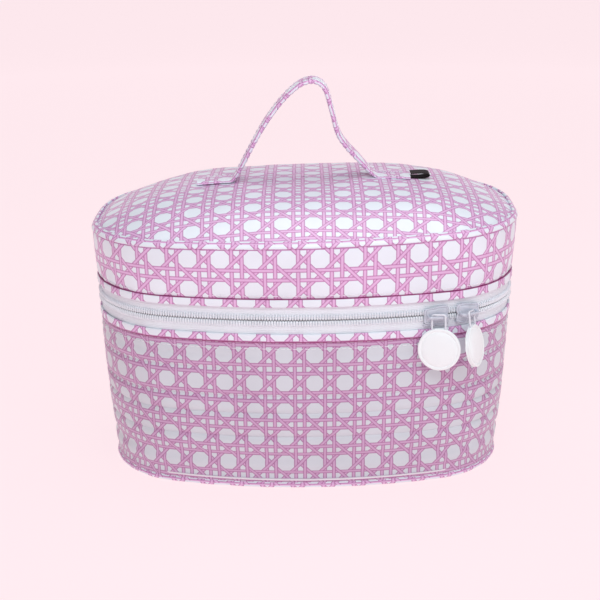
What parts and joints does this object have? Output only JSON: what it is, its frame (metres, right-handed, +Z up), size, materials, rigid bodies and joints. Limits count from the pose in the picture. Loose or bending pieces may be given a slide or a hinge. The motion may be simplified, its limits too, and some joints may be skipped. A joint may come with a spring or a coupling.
{
  "type": "makeup train case",
  "caption": "Soft padded vanity case with a domed lid on a fabric hinge, a zipper round three sides, a strap handle and disc pulls.",
  "frame": {"origin": "middle of the flat base that the case rests on, on the case's left-right symmetry plane", "axes": "+X to the case's right, -Y towards its bowed front, +Y towards its straight hinged back, +Z up through the lid and handle"},
  "size_m": [0.2624, 0.1804, 0.235],
  "materials": {
    "cane_canvas": "PVC-coated cotton canvas printed with an open cane weave, light satin gloss",
    "board": "plain stiffening board",
    "foam": "closed-cell foam",
    "lining": "wipe-clean coated lining",
    "binding": "woven binding tape",
    "zip_tape": "knitted zipper tape",
    "zip_coil": "nylon coil",
    "white_metal": "white enamel on cast zinc and wire",
    "white_leather": "smooth white leather",
    "dark_leather": "dark brown leather"
  },
  "bodies": {
    "root": {"base_outer_panel": "cane_canvas", "base_board": "board", "base_foam": "foam", "base_lining": "lining", "base_piping": "cane_canvas", "body_wall_canvas": "cane_canvas", "body_wall_foam": "foam", "body_wall_lining": "lining", "base_seam_binding": "binding", "body_rim_binding": "binding", "slip_pocket": "lining", "slip_pocket_elastic": "binding", "body_zip_piping": "cane_canvas", "body_zip_tape": "zip_tape", "body_zip_coil": "zip_coil", "zip_end_stops": "white_metal", "body_hinge_panel": "cane_canvas", "body_hinge_lining": "lining"},
    "lid": {"lid_zip_piping": "cane_canvas", "lid_zip_tape": "zip_tape", "lid_zip_coil": "zip_coil", "lid_hinge_panel": "cane_canvas", "lid_hinge_lining": "lining", "lid_band_canvas": "cane_canvas", "lid_band_foam": "foam", "lid_band_lining": "lining", "lid_rim_binding": "binding", "lid_seam_binding": "binding", "top_piping": "cane_canvas", "top_panel_canvas": "cane_canvas", "top_panel_foam": "foam", "top_panel_lining": "lining", "left_handle_patch": "binding", "right_handle_patch": "binding", "left_handle_end": "cane_canvas", "right_handle_end": "cane_canvas", "leather_tab": "dark_leather"},
    "handle": {"handle_sleeve": "cane_canvas", "handle_core": "foam"},
    "left_slider": {"left_slider_body": "white_metal", "left_slider_crown": "white_metal"},
    "left_pull": {"left_pull_loop": "white_metal", "left_pull_front_leather": "white_leather", "left_pull_core": "foam", "left_pull_back_leather": "white_leather"},
    "right_slider": {"right_slider_body": "white_metal", "right_slider_crown": "white_metal"},
    "right_pull": {"right_pull_loop": "white_metal", "right_pull_front_leather": "white_leather", "right_pull_core": "foam", "right_pull_back_leather": "white_leather"}
  },
  "joints": [
    {"name": "lid_hinge", "type": "hinge", "parent": "root", "child": "lid", "pos_m": [0, 0.083, 0.10975], "axis": [-1, 0, 0], "range_deg": [0, 120]},
    {"name": "handle_swing", "type": "hinge", "parent": "lid", "child": "handle", "pos_m": [0, 0, 0.17531], "axis": [1, 0, 0], "range_deg": [-50, 50]},
    {"name": "left_slider_travel", "type": "hinge", "parent": "root", "child": "left_slider", "pos_m": [0, 0.24, 0.10975], "axis": [0, 0, -1], "range_deg": [0, 26]},
    {"name": "right_slider_travel", "type": "hinge", "parent": "root", "child": "right_slider", "pos_m": [0.06757, -0.01934, 0.10975], "axis": [0, 0, 1], "range_deg": [0, 54]},
    {"name": "left_pull_swing", "type": "hinge", "parent": "left_slider", "child": "left_pull", "pos_m": [0.07726, -0.08484, 0.10975], "axis": [-0.9729, -0.2314, 0], "range_deg": [0, 150]},
    {"name": "right_pull_swing", "type": "hinge", "parent": "right_slider", "child": "right_pull", "pos_m": [0.09709, -0.07826, 0.10975], "axis": [-0.8941, -0.4478, 0], "range_deg": [0, 150]}
  ]
}
